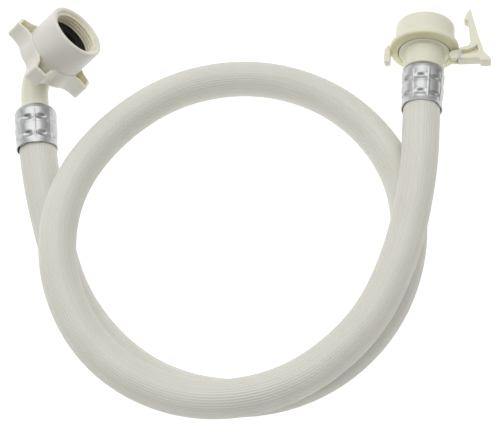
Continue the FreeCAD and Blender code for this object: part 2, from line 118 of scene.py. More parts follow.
def studio_dome():
    """A pale dome, brightest overhead and behind the object, dim low down in front."""
    tree = world.node_tree
    direction = tree.nodes.new("ShaderNodeTexCoord").outputs["Generated"]
    toward = tree.nodes.new("ShaderNodeVectorMath")
    toward.operation = "DOT_PRODUCT"
    tree.links.new(direction, toward.inputs[0])
    toward.inputs[1].default_value = DOME_BRIGHTEST
    ramp = tree.nodes.new("ShaderNodeValToRGB")
    tree.links.new(toward.outputs["Value"], ramp.inputs["Fac"])
    ramp.color_ramp.elements[0].position = 0.0
    ramp.color_ramp.elements[0].color = DOME_LOW
    ramp.color_ramp.elements[1].position = 0.85
    ramp.color_ramp.elements[1].color = DOME_HIGH
    middle = ramp.color_ramp.elements.new(0.45)
    middle.color = DOME_BETWEEN
    tree.links.new(ramp.outputs["Color"], sky.inputs["Color"])


studio_dome()


# ------------------------------------------------------------------ materials
class Shader:
    """A small helper to wire a node material round one Principled shader."""

    def __init__(self, name):
        self.material = bpy.data.materials.new(name)
        self.material.use_nodes = True
        self.tree = self.material.node_tree
        self.principled = self.tree.nodes["Principled BSDF"]
        self.place = self.node("ShaderNodeTexCoord").outputs["Object"]

    def node(self, kind, **settings):
        """A new node with its settings."""
        node = self.tree.nodes.new(kind)
        for name, setting in settings.items():
            setattr(node, name, setting)
        return node

    def link(self, source, target):
        """Join an output to an input."""
        self.tree.links.new(source, target)

    def plug(self, target, source):
        """Give a socket a number, a colour or another node's output."""
        if isinstance(source, bpy.types.NodeSocket):
            self.link(source, target)
        else:
            target.default_value = source

    def set(self, **settings):
        """Give inputs of the main shader their values, with _ for each space."""
        for name, setting in settings.items():
            self.principled.inputs[name.replace("_", " ")].default_value = setting

    def drive(self, **sources):
        """Link outputs to inputs of the main shader, with _ for each space."""
        for name, source in sources.items():
            self.link(source, self.principled.inputs[name.replace("_", " ")])

    def math(self, operation, *terms):
        """One step of arithmetic on numbers or outputs."""
        node = self.node("ShaderNodeMath", operation=operation)
        for socket, term in zip(node.inputs, terms):
            self.plug(socket, term)
        return node.outputs[0]

    def noise(self, scale, detail=3.0):
        """Noise over the object, scale lumps to the metre."""
        node = self.node("ShaderNodeTexNoise")
        self.link(self.place, node.inputs["Vector"])
        node.inputs["Scale"].default_value = scale
        node.inputs["Detail"].default_value = detail
        node.inputs["Roughness"].default_value = 0.55
        return node.outputs["Fac"]

    def patches(self, scale, detail=3.0, low=0.0, high=1.0):
        """Noise stretched to run from low to high."""
        return self.span(self.noise(scale, detail), 0.3, 0.7, low, high)

    def mix(self, factor, first, second):
        """A colour from first, at factor 0, to second, at 1."""
        node = self.node("ShaderNodeMix", data_type="RGBA")
        self.plug(node.inputs["Factor"], factor)
        self.plug(node.inputs["A"], first)
        self.plug(node.inputs["B"], second)
        return node.outputs["Result"]

    def bump(self, height, distance, strength, normal=None):
        """A bump of this height in metres, on top of another one's normal if given."""
        node = self.node("ShaderNodeBump")
        self.plug(node.inputs["Height"], height)
        node.inputs["Distance"].default_value = distance
        node.inputs["Strength"].default_value = strength
        if normal is not None:
            self.link(normal, node.inputs["Normal"])
        return node.outputs["Normal"]

    def span(self, value, low, high, to_low, to_high):
        """The value moved from one range to another."""
        node = self.node("ShaderNodeMapRange")
        self.plug(node.inputs["Value"], value)
        for name, setting in (("From Min", low), ("From Max", high),
                              ("To Min", to_low), ("To Max", to_high)):
            node.inputs[name].default_value = setting
        return node.outputs["Result"]

    def chance(self, number):
        """The same random value, 0 to 1, wherever the number is the same."""
        node = self.node("ShaderNodeTexWhiteNoise", noise_dimensions="1D")
        self.plug(node.inputs["W"], number)
        return node.outputs["Value"]


PLASTIC_GRAIN = 0.00003


def plastic(name, colour, shade, roughness=0.38):
    """Moulded plastic: cloudy tint, faint flow marks and a fine orange-peel grain."""
    s = Shader(name)
    s.drive(Base_Color=s.mix(s.patches(60.0, 4.0), (*shade, 1.0), (*colour, 1.0)))
    s.drive(Roughness=s.patches(700.0, 3.0, roughness - 0.05, roughness + 0.07))
    peel = s.bump(s.noise(1400.0, 2.0), PLASTIC_GRAIN, 0.6)
    s.drive(Normal=s.bump(s.noise(130.0, 2.0), PLASTIC_GRAIN * 4, 0.5, peel))
    s.set(IOR=1.5, Subsurface_Weight=0.30, Subsurface_Radius=(1.0, 0.88, 0.42),
          Subsurface_Scale=0.003)
    return s.material


def metal(name, colour, roughness, dents=90.0):
    """Pressed or drawn metal: streaked roughness, small dents and handling marks."""
    s = Shader(name)
    darker = tuple(0.93 * c for c in colour)
    s.drive(Base_Color=s.mix(s.patches(220.0, 5.0), (*darker, 1.0), (*colour, 1.0)))
    s.set(Metallic=1.0)
    s.drive(Roughness=s.patches(900.0, 4.0, roughness - 0.03, roughness + 0.04))
    dented = s.bump(s.noise(dents, 2.0), 0.00004, 0.12)
    s.drive(Normal=s.bump(s.noise(2600.0, 2.0), 0.000002, 0.4, dented))
    return s.material


def black_rubber(name):
    """Matt black rubber with fine specks."""
    s = Shader(name)
    speck = s.span(s.noise(1500.0), 0.35, 0.7, 0.0, 1.0)
    s.drive(Base_Color=s.mix(speck, (0.004, 0.004, 0.004, 1.0), (0.012, 0.012, 0.011, 1.0)))
    s.drive(Roughness=s.span(speck, 0.0, 1.0, 0.55, 0.75))
    s.drive(Normal=s.bump(s.noise(2500.0), 0.00004, 0.6))
    s.set(Specular_IOR_Level=0.25)
    return s.material


RIBS = 44
WEAVE_PITCH = 3.4  # one stitch and its gap, along the hose
COVER_DARK, COVER_LIGHT = (0.715, 0.710, 0.655, 1.0), (0.755, 0.753, 0.705, 1.0)
COVER_RIB, COVER_GROOVE_SHADE = (0.60, 0.57, 0.47, 1.0), (0.53, 0.495, 0.39, 1.0)
COVER_STITCH = (0.80, 0.79, 0.74, 1.0)


def hose_cover_material():
    """Ribbed PVC over a braid: ribs, short stitches along them, a cloudy tint and painted shade
    in the grooves between ribs.

    The UV map counts ribs round the hose and millimetres along it."""
    s = Shader("hose_pvc")
    uv = s.node("ShaderNodeUVMap", uv_map="around_along").outputs["UV"]
    split = s.node("ShaderNodeSeparateXYZ")
    s.link(uv, split.inputs[0])
    rib, along = split.outputs[0], split.outputs[1]
    index = s.math("FLOOR", rib)
    stagger = s.math("MULTIPLY", s.math("MODULO", index, 2.0), 0.5)
    stitch = s.math("ADD", s.math("DIVIDE", along, WEAVE_PITCH), stagger)
    wobble = s.math("MULTIPLY", s.noise(90.0, 2.0), 0.5)
    wave = s.math("SINE", s.math("MULTIPLY", s.math("ADD", stitch, wobble), 2 * math.pi))
    across = s.math("ABSOLUTE", s.math("SINE", s.math("MULTIPLY", rib, math.pi)))
    stitches = s.math("MULTIPLY", s.span(wave, -1.0, 1.0, 0.0, 1.0), across)
    # Painted shade: a darker tan line in each groove between ribs, stronger in some grooves than
    # in others.
    groove = s.math("POWER", s.math("SUBTRACT", 1.0, across), 2.2)
    line = s.span(s.chance(s.math("FLOOR", s.math("ADD", rib, 0.5))), 0.0, 1.0, 0.08, 0.50)
    own = s.chance(s.math("ADD", index, 57.0))
    body = s.mix(s.patches(45.0, 4.0), COVER_DARK, COVER_LIGHT)
    ribbed = s.mix(s.math("MULTIPLY", own, 0.13), body, COVER_RIB)
    groove_shaded = s.mix(s.math("MULTIPLY", groove, line), ribbed, COVER_GROOVE_SHADE)
    woven = s.mix(s.math("MULTIPLY", stitches, 0.16), groove_shaded, COVER_STITCH)
    s.drive(Base_Color=woven, Roughness=s.patches(800.0, 3.0, 0.42, 0.56))
    weave = s.bump(stitches, 0.00006, 0.7)
    s.drive(Normal=s.bump(s.noise(2200.0, 2.0), 0.00002, 0.5, weave))
    s.set(Subsurface_Weight=0.10, Subsurface_Radius=(1.0, 0.8, 0.5), Subsurface_Scale=0.002)
    return s.material


IVORY = plastic("ivory_nylon", (0.805, 0.802, 0.680), (0.780, 0.774, 0.642))
WHITE = plastic("white_nylon", (0.790, 0.780, 0.735), (0.765, 0.753, 0.700))
# Painted shade: a darker, yellower copy of the ivory for the flange's hose-facing face and the
# lever's recess.
IVORY_PAINTED_SHADE = plastic("ivory_hollow", (0.750, 0.735, 0.500), (0.725, 0.710, 0.465))
# Painted bounce light: a warmer cream copy of the white nylon for the nut's pockets and thread.
WHITE_PAINTED_BOUNCE = plastic("white_hollow", (0.870, 0.830, 0.690), (0.850, 0.805, 0.655))
ACETAL = plastic("jaw_acetal", (0.74, 0.735, 0.70), (0.70, 0.69, 0.66), roughness=0.28)
FERRULE = metal("ferrule_aluminium", (0.58, 0.588, 0.60), 0.38)
STEEL = metal("pin_steel", (0.58, 0.57, 0.55), 0.25)
SPRING = metal("spring_steel", (0.46, 0.45, 0.43), 0.3, 200.0)
RUBBER = black_rubber("black_rubber")
COVER = hose_cover_material()


def floor_material():
    """A lit white table: nearly all glow, so only the faintest contact shade shows."""
    s = Shader("white_table")
    paper = s.patches(30.0, 4.0, 0.40, 0.42)
    mixed = s.node("ShaderNodeCombineColor")
    for channel in range(3):
        s.link(paper, mixed.inputs[channel])
    s.drive(Base_Color=mixed.outputs[0])
    s.set(Roughness=0.9, Specular_IOR_Level=0.0, Emission_Color=(1.0, 1.0, 1.0, 1.0),
          Emission_Strength=0.86)
    return s.material


# ------------------------------------------------------------------ mesh building
def make_object(name, vertices, faces, material, matrix=None, smooth_angle=35.0):
    """Mesh object from millimetre points in a fitting's own frame."""
    points = np.asarray(vertices, float)
    if matrix is not None:
        rows = np.array(matrix)
        points = points @ rows[:3, :3].T + rows[:3, 3]
    mesh = bpy.data.meshes.new(name)
    mesh.from_pydata((points * MM).tolist(), [], faces)
    mesh.update()
    thing = bpy.data.objects.new(name, mesh)
    bpy.context.scene.collection.objects.link(thing)
    mesh.materials.append(material)
    mesh.shade_smooth()
    mesh.set_sharp_from_angle(angle=math.radians(smooth_angle))
    return thing


def grid_faces(rows, columns, close_rows=False, close_columns=True):
    """Quads of a grid stored row by row."""
    faces = []
    for i in range(rows if close_rows else rows - 1):
        below = ((i + 1) % rows) * columns
        here = i * columns
        for j in range(columns if close_columns else columns - 1):
            following = (j + 1) % columns
            faces.append((here + j, here + following, below + following, below + j))
    return faces


def rounded(profile, radius, steps=4):
    """Round the corners of a closed outline. A point's third entry overrides the radius."""
    points = [np.array(p[:2], float) for p in profile]
    out = []
    for i, here in enumerate(points):
        size = profile[i][2] if len(profile[i]) > 2 else radius
        before = points[i - 1] - here
        after = points[(i + 1) % len(points)] - here
        reach = min(size, 0.45 * np.linalg.norm(before), 0.45 * np.linalg.norm(after))
        if reach < 0.02:
            out.append(here)
            continue
        first = here + before / np.linalg.norm(before) * reach
        last = here + after / np.linalg.norm(after) * reach
        for k in range(steps + 1):
            t = k / steps
            out.append((1 - t) ** 2 * first + 2 * t * (1 - t) * here + t * t * last)
    return np.array(out)


CORNER = 0.3


def turned(name, profile, material, matrix, columns):
    """Solid of revolution about Z, with rounded corners, from an (r, z) outline."""
    ring = rounded(profile, CORNER)
    angles = np.linspace(0, 2 * math.pi, columns, endpoint=False)
    vertices = [(r * math.cos(a), r * math.sin(a), z) for r, z in ring for a in angles]
    return make_object(name, vertices, grid_faces(len(ring), columns, close_rows=True),
                       material, matrix)


def tint(thing, material, matrix, wanted):
    """Give another material to the faces that wanted(middle, normal) picks, in mm."""
    thing.data.materials.append(material)
    back = matrix.inverted()
    turn = back.to_3x3()
    for face in thing.data.polygons:
        if wanted(back @ (face.center / MM), turn @ face.normal):
            face.material_index = len(thing.data.materials) - 1


def capped(rows, columns):
    """Faces of an open tube of rings with both its ends closed."""
    last = (rows - 1) * columns
    return grid_faces(rows, columns) + [
        tuple(range(columns)), tuple(reversed(range(last, last + columns)))]


def join(name, parts):
    """One object out of several."""
    bpy.ops.object.select_all(action="DESELECT")
    for part in parts:
        part.select_set(True)
    bpy.context.view_layer.objects.active = parts[0]
    bpy.ops.object.join()
    parts[0].name = name
    parts[0].data.name = name
    return parts[0]


PLATE_SHARP = 40.0


def plate(name, outlines, half, material, matrix, edge, middle=0.0):
    """Flat part with rounded edges from outlines in the (y, z) plane.

    It reaches half to each side of middle along x. The first outline is the outside and
    the others are holes."""
    curve = bpy.data.curves.new(name, "CURVE")
    curve.dimensions = "2D"
    curve.fill_mode = "BOTH"
    curve.extrude = half - edge
    curve.bevel_depth = edge
    curve.bevel_resolution = 3
    curve.offset = -edge
    for outline in outlines:
        spline = curve.splines.new("POLY")
        spline.points.add(len(outline) - 1)
        for point, (y, z) in zip(spline.points, outline):
            point.co = (y, z, 0.0, 1.0)
        spline.use_cyclic_u = True
    holder = bpy.data.objects.new(name, curve)
    bpy.context.scene.collection.objects.link(holder)
    bpy.context.view_layer.update()
    flat = bpy.data.meshes.new_from_object(
        holder.evaluated_get(bpy.context.evaluated_depsgraph_get()))
    vertices = [(v.co.z + middle, v.co.x, v.co.y) for v in flat.vertices]
    faces = [tuple(p.vertices) for p in flat.polygons]
    bpy.data.objects.remove(holder)
    solid = make_object(name, vertices, faces, material, matrix, PLATE_SHARP)
    weld = bmesh.new()
    weld.from_mesh(solid.data)
    bmesh.ops.remove_doubles(weld, verts=weld.verts, dist=1e-6)
    bmesh.ops.recalc_face_normals(weld, faces=weld.faces)
    weld.to_mesh(solid.data)
    weld.free()
    solid.data.shade_smooth()
    solid.data.set_sharp_from_angle(angle=math.radians(PLATE_SHARP))
    return solid


def fillet(points, radius, steps=5):
    """Round the corners of a closed outline."""
    return [tuple(p) for p in rounded(points, radius, steps)]


# ------------------------------------------------------------------ frames of the fittings
def turn_about(axis, degrees):
    """Rotation by an angle about a named axis."""
    return Matrix.Rotation(math.radians(degrees), 4, axis)


def placed(origin, rotation):
    """Frame with this origin and these directions."""
    return Matrix.Translation(Vector(origin)) @ rotation.to_4x4()


def facing(z_axis, x_axis):
    """Rotation that turns Z and X to two directions at right angles."""
    return Matrix((x_axis, z_axis.cross(x_axis), z_axis)).transposed()


# The hose's middle line, in the row's frame, as the CAD's tube has it.
ROUTE = [
    (-116.7, -17, 13.7), (-113.7, -44, 14), (-105.5, -81, 9.8), (-90, -127.5, 10),
    (-55.5, -163.5, 10), (-11, -177, 10), (34, -167.5, 10), (69.5, -136, 10.5),
    (86, -90, 10.5), (79.5, -44, 10), (49, -7.5, 10), (5.5, 7.5, 11),
    (-40, -1, 13.5), (-76, -31, 19), (-97.5, -73, 28.5), (-97.5, -119, 30.5),
    (-74.5, -160, 28.5), (-32, -181.5, 28.5), (16, -176.5, 30), (55.5, -147, 30.5),
    (76, -108, 30), (87.5, -62, 30.5), (92, -19.5, 22.4), (94.4, 2.8, 20.8),
]
FERRULE_TOP = Vector((-116.85, -15.6, 13.7))
ELBOW_RUN = 23.0
NUT_START = 9.0
TAP_NECK = 14.2
machine_axis = (Vector(ROUTE[0]) - Vector(ROUTE[1])).normalized()
elbow_corner = FERRULE_TOP + machine_axis * ELBOW_RUN
nut_turn = (turn_about("Z", 25.6) @ turn_about("Y", 51.5) @ turn_about("Z", -50.3)).to_3x3()
nut_axis = nut_turn @ Vector((0, 0, 1))
NUT = placed(elbow_corner + nut_axis * NUT_START, nut_turn)
coupler_turn = (turn_about("Z", -6.0) @ turn_about("X", -5.0) @ turn_about("Y", -12.0)
                @ Matrix(((0, 1, 0, 0), (0, 0, 1, 0), (1, 0, 0, 0), (0, 0, 0, 1)))).to_3x3()
COUPLER = placed((96.0, 18.0, 19.4), coupler_turn)
side = machine_axis.cross(Vector((0, 0, 1))).normalized()
MACHINE_FERRULE = placed(FERRULE_TOP, facing(machine_axis, side))
TAP_FERRULE = COUPLER @ Matrix.Translation((0, 0, -TAP_NECK))

# ------------------------------------------------------------------ hose
END_RADIUS = 9.9
FLAT_RADIUS = 9.5
TALL_RADIUS = 9.8
EASE_FROM, EASE_TO = 20.0, 90.0
CRIMP_SQUEEZE = 0.75
SQUEEZE_FROM, SQUEEZE_TO = 19.7, 22.4
RIB_HEIGHT, RIB_SINK = 0.09, 0.05
RIB_COLUMNS = 5
RING_STEP = 1.6


def smooth(value, low, high):
    """0 below low, 1 above high and an even S between them."""
    t = np.clip((value - low) / (high - low), 0.0, 1.0)
    return t * t * (3 - 2 * t)


def route_line():
    """Points along the smooth route, read from its NURBS spline."""
    curve = bpy.data.curves.new("route", "CURVE")
    curve.dimensions = "3D"
    spline = curve.splines.new("NURBS")
    spline.points.add(len(ROUTE) - 1)
    for point, (x, y, z) in zip(spline.points, ROUTE):
        point.co = (x * MM, y * MM, z * MM, 1.0)
    spline.order_u = 3
    spline.use_endpoint_u = True
    spline.resolution_u = 24
    holder = bpy.data.objects.new("route", curve)
    bpy.context.scene.collection.objects.link(holder)
    bpy.context.view_layer.update()
    line = bpy.data.meshes.new_from_object(
        holder.evaluated_get(bpy.context.evaluated_depsgraph_get()))
    points = np.array([v.co for v in line.vertices])
    bpy.data.objects.remove(holder)
    bpy.data.curves.remove(curve)
    return points / MM


def evenly(points, step):
    """The same line with points about one step apart, and how far along each one is."""
    lengths = np.r_[0.0, np.cumsum(np.linalg.norm(np.diff(points, axis=0), axis=1))]
    count = int(round(lengths[-1] / step)) + 1
    at = np.linspace(0, lengths[-1], count)
    return np.stack([np.interp(at, lengths, points[:, k]) for k in range(3)], axis=1), at


def around(columns):
    """Evenly spaced angles of a full turn."""
    return np.arange(columns) * 2 * math.pi / columns


def map_ribs(skin, along, columns):
    """UV map that counts ribs round the hose and millimetres along it."""
    layer = skin.data.uv_layers.new(name="around_along")
    corner = np.zeros((len(skin.data.loops), 2), np.float32)
    index = 0
    for here, there in zip(along[:-1], along[1:]):
        for j in range(columns):
            left = (j + 0.5 * RIB_COLUMNS) / RIB_COLUMNS
            right = (j + 1 + 0.5 * RIB_COLUMNS) / RIB_COLUMNS
            corner[index:index + 4] = ((left, here), (right, here),
                                       (right, there), (left, there))
            index += 4
    layer.data.foreach_set("uv", corner.ravel())


def hose_skin():
    """Ribbed skin round the route, and the line it follows.

    It is round at its ends, a little flattened between them and squeezed by the crimps."""
    centre, along = evenly(route_line(), RING_STEP)
    tangent = np.gradient(centre, axis=0)
    tangent /= np.linalg.norm(tangent, axis=1)[:, None]
    flat = np.cross(tangent, (0.0, 0.0, 1.0))
    flat /= np.linalg.norm(flat, axis=1)[:, None]
    tall = np.cross(flat, tangent)
    to_end = np.minimum(along, along[-1] - along)
    ease = smooth(to_end, EASE_FROM, EASE_TO)
    squeeze = CRIMP_SQUEEZE * (1 - smooth(to_end, SQUEEZE_FROM, SQUEEZE_TO))
    wide = END_RADIUS + (FLAT_RADIUS - END_RADIUS) * ease - squeeze
    high = END_RADIUS + (TALL_RADIUS - END_RADIUS) * ease - squeeze
    columns = RIBS * RIB_COLUMNS
    angle = around(columns)
    rib = RIB_HEIGHT * np.cos(RIBS * angle) - RIB_SINK
    rings = [centre[i]
             + np.outer((wide[i] + rib) * np.cos(angle), flat[i])
             + np.outer((high[i] + rib) * np.sin(angle), tall[i])
             for i in range(len(centre))]
    skin = make_object("hose_skin", np.concatenate(rings), capped(len(centre), columns),
                       COVER, smooth_angle=60.0)
    map_ribs(skin, along, columns)
    return skin, centre


hose, hose_line = hose_skin()
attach(hose, "hose_assembly")
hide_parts("hose_cover", "hose_braid", "hose_liner")

# ------------------------------------------------------------------ ferrules
# A ferrule starts at 0 and runs down to FERRULE_END. Its outlines are (height, radius).
CRIMPS = 8
CRIMP_ROWS = (-9.2, -19.0)
CRIMP_HALF_WIDTH, CRIMP_HALF_HEIGHT, CRIMP_DEPTH = 3.45, 1.95, 1.15
CRIMP_SHAPE = 2.4
CRIMP_RIM = 0.12
RIDGE_HEIGHT, PANEL_DEPTH = 0.26, 0.18
FERRULE_END = -24.2
SHOULDER_END = -4.0
FERRULE_COLUMNS = 256
WAIST = [(-6.2, 11.2), (-9.2, 10.8), (-12.8, 11.3), (-16.0, 11.1)]
SHALLOW_WAIST = [(-6.2, 11.4), (-9.2, 10.9), (-12.8, 11.4), (-16.0, 11.15)]
LIP = [(-19.0, 10.75), (-21.6, 10.8), (-23.0, 10.85), (FERRULE_END, 11.1)]
DOMED_TOP = [(0.0, 8.4), (-0.5, 9.3), (-1.2, 10.2), (-2.2, 10.9), (-3.6, 11.3)] + WAIST + LIP
FLAT_TOP = ([(0.0, 10.3), (-0.25, 10.7), (-0.8, 11.0), (-1.8, 11.3), (-3.4, 11.5)]
            + SHALLOW_WAIST + LIP)


def turned_from(angle, middle):
    """Angles measured from middle, within half a turn either way."""
    return (angle - middle + math.pi) % (2 * math.pi) - math.pi


def ferrule_radii(outline, swell, z):
    """Radius at each height before crimping, with the kinks below the shoulder softened."""
    heights = np.array([height for height, radius in outline])
    base = np.interp(-z, -heights, [radius for height, radius in outline])
    base = base + swell * (1 - smooth(-z, 3.0, 16.0)) * smooth(-z, 0.0, 2.5)
    kernel = np.array([1, 2, 3, 2, 1]) / 9.0
    softened = np.convolve(np.pad(base, 2, mode="edge"), kernel, mode="valid")
    return np.where(z < SHOULDER_END, softened, base)


def crimped(radius, height, angle, spin):
    """One ring of the ferrule with its dimples, the ridges between them and the wavy lip."""
    r = np.full(len(angle), radius)
    body = smooth(-height, 3.0, 6.0) * (1 - smooth(-height, 21.0, 23.0))
    for row, centre in enumerate(CRIMP_ROWS):
        for k in range(CRIMPS):
            middle = spin + 2 * math.pi * k / CRIMPS + 0.02 * math.sin(5 * k + row)
            across = np.abs(turned_from(angle, middle) * radius) / CRIMP_HALF_WIDTH
            up = abs(height - centre) / CRIMP_HALF_HEIGHT
            far = (across ** CRIMP_SHAPE + up ** CRIMP_SHAPE) ** (1 / CRIMP_SHAPE)
            r -= CRIMP_DEPTH * (1 - smooth(far, 0.05, 1.0))
            r += CRIMP_RIM * np.exp(-((far - 1.15) / 0.18) ** 2)
    for k in range(CRIMPS):
        gap = turned_from(angle, spin + 2 * math.pi * (k + 0.5) / CRIMPS)
        ridge = np.exp(-(gap * radius / 0.45) ** 2)
        panel = np.exp(-(gap * radius / 2.0) ** 2)
        r += body * (RIDGE_HEIGHT * ridge - PANEL_DEPTH * panel)
    lip = smooth(-height, 21.5, -FERRULE_END)
    return r + lip * (0.06 * np.cos(CRIMPS * (angle - spin)) + 0.05 * np.cos(3 * angle + 1.0))


def ferrule(name, matrix, hole, outline, spin, swell):
    """Crimped sleeve: two waists with dimples, soft bulges between, a flared wavy lip."""
    angle = around(FERRULE_COLUMNS)
    one = np.ones(FERRULE_COLUMNS)
    z = np.concatenate([np.linspace(0, SHOULDER_END, 14, endpoint=False),
                        np.linspace(SHOULDER_END, FERRULE_END, 74)])
    outer = [crimped(radius, height, angle, spin)
             for radius, height in zip(ferrule_radii(outline, swell, z), z)]
    tilt = 0.16 * np.cos(CRIMPS * (angle - spin)) + 0.10 * np.cos(2 * angle)
    rows = [(hole * one, -0.9 * one), (hole * one, -0.1 * one),
            (min(hole + 0.15, outline[0][1]) * one, 0.0 * one)]
    rows += [(r, height + tilt * smooth(-height, 22.0, -FERRULE_END))
             for r, height in zip(outer, z)]
    rows += [(outer[-1] - inset, FERRULE_END + rise + tilt)
             for inset, rise in ((0.15, -0.18), (0.55, -0.18), (0.72, 0.1), (0.75, 0.8))]
    rows += [(r * one, height * one)
             for r, height in ((9.98, -22.2), (9.32, -20.8), (9.32, -1.0))]
    vertices = [(r * math.cos(a), r * math.sin(a), h)
                for ring, level in rows for r, h, a in zip(ring, level, angle)]
    piece = make_object(name, vertices,
                        grid_faces(len(rows), FERRULE_COLUMNS, close_rows=True),
                        FERRULE, matrix, smooth_angle=50.0)
    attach(piece, "hose_assembly")
    return piece


machine_ferrule = ferrule("machine_ferrule_shell", MACHINE_FERRULE, hole=7.5,
                          outline=DOMED_TOP, spin=0.48, swell=0.0)
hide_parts("machine_end_ferrule")
tap_ferrule = ferrule("tap_ferrule_shell", TAP_FERRULE, hole=6.3, outline=FLAT_TOP,
                      spin=-0.015, swell=0.15)
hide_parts("tap_end_ferrule")

# ------------------------------------------------------------------ elbow
ELBOW_BEND = 19.0
ELBOW_RADIUS = 7.4
ELBOW_COLUMNS = 96
BEND_STEPS = 24
HEAD_TOP, HEAD_BOTTOM, HEAD_RADIUS = 27.3, 23.8, 11.6
BEND_TOP = 19.0
WATERWAY = 4.4
TAIL_FLARE = (0.15, 0.45, 0.5)


def elbow():
    """Moulded elbow: head flange in the nut, a bend and the run into the ferrule."""
    turning = machine_axis.angle(nut_axis)
    reach = ELBOW_BEND * math.tan(turning / 2)
    away = (nut_axis * nut_axis.dot(machine_axis) - machine_axis).normalized()
    centre = elbow_corner + nut_axis * reach + away * ELBOW_BEND
    stations = [(elbow_corner + nut_axis * height, -nut_axis, away)
                for height in (HEAD_TOP, HEAD_BOTTOM, BEND_TOP)]
    for k in range(BEND_STEPS + 1):
        turned_by = turning * k / BEND_STEPS
        outward = -away * math.cos(turned_by) - nut_axis * math.sin(turned_by)
        ahead = -nut_axis * math.cos(turned_by) + away * math.sin(turned_by)
        stations.append((centre + outward * ELBOW_BEND, ahead, -outward))
    tail = -machine_axis
    inside = (away - tail * away.dot(tail)).normalized()
    for distance in (16.5, 18.0, 19.5, 21.4, 22.2, ELBOW_RUN + 0.8):
        stations.append((elbow_corner + tail * distance, tail, inside))
    radii = [ELBOW_RADIUS] * (len(stations) - len(TAIL_FLARE))
    radii += [ELBOW_RADIUS + flare for flare in TAIL_FLARE]
    vertices = []
    for (at, ahead, inward), radius in zip(stations, radii):
        across = ahead.cross(inward)
        for a in around(ELBOW_COLUMNS):
            vertices.append(tuple(at + inward * radius * math.cos(a)
                                  + across * radius * math.sin(a)))
    tube = make_object("elbow_tube", vertices, capped(len(stations), ELBOW_COLUMNS), IVORY,
                       smooth_angle=40.0)
    head = turned("elbow_head",
                  [(WATERWAY, HEAD_BOTTOM), (HEAD_RADIUS, HEAD_BOTTOM),
                   (HEAD_RADIUS, HEAD_TOP), (WATERWAY, HEAD_TOP)],
                  IVORY, placed(elbow_corner, facing(nut_axis, away)),
                  columns=ELBOW_COLUMNS)
    return join("elbow_piece", [tube, head])


elbow_piece = elbow()
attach(elbow_piece, "hose_assembly")
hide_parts("elbow_tail")

# ------------------------------------------------------------------ winged nut
BARREL = 16.4
SKIRT = 17.0
SKIRT_TOP = 11.0
TURNING_HOLE = 7.75
MOUTH, MOUTH_ROUND = 28.1, 0.9
THREAD_PITCH, THREAD_ROOT, THREAD_HEIGHT = 1.814, 13.25, 1.15
THREAD_TOP, THREAD_BOTTOM, THREAD_ROWS = 27.6, 19.9, 62
LEAD_RADIUS, LEAD_FROM, LEAD_TO = 13.45, 27.7, 26.8
UNDERSIDE, NUT_FLOOR = 10.3, 14.5


def arc_points(centre, radius, start, end, count):
    """Points along an arc, in a plane."""
    return [(centre[0] + radius * math.cos(a), centre[1] + radius * math.sin(a))
            for a in np.linspace(start, end, count)]


def half_wing():
    """Outline of half a wing, from its axis round to the skirt, as angle and radius."""
    points = [(25.3, y) for y in np.linspace(0, 2.9, 8)]
    points += arc_points((23.9, 2.9), 1.4, 0.0, math.pi / 2, 12)
    points += arc_points((23.3, 15.2), 10.9, -math.pi / 2, math.radians(-147.0), 26)[1:]
    outline = sorted((math.atan2(y, x), math.hypot(x, y)) for x, y in points)
    return [(a, r) for a, r in outline if r > SKIRT]


def wing_outline():
    """Angles round the nut and the outer radius at each: half a wing, mirrored, four times."""
    half = half_wing()
    to_skirt = np.linspace(math.radians(33.5), math.pi / 4, 10)
    quarter = sorted(set([a for a, r in half] + list(to_skirt)))
    reaches = np.interp(quarter, [a for a, r in half] + [math.radians(33.0), math.pi],
                        [r for a, r in half] + [SKIRT, SKIRT])
    backward = [(-a, r) for a, r in zip(quarter, reaches)][::-1]
    forward = list(zip(quarter, reaches))[1:-1]
    outline = [(k * math.pi / 2 + a, r) for k in range(4) for a, r in backward + forward]
    return np.array([a for a, r in outline]), np.array([r for a, r in outline])


def thread_radius(z, angle):
    """Inside thread: trapezoid ridges one pitch apart."""
    phase = (z / THREAD_PITCH - angle / (2 * math.pi)) % 1.0
    ridge = np.clip(1.5 - np.abs(phase - 0.5) * 5.0, 0.0, 1.0)
    return THREAD_ROOT - THREAD_HEIGHT * ridge


def wing_top(r):
    """Height of the wings' top face, which falls away from the skirt."""
    return SKIRT_TOP - 0.21 * np.maximum(0.0, r - SKIRT)


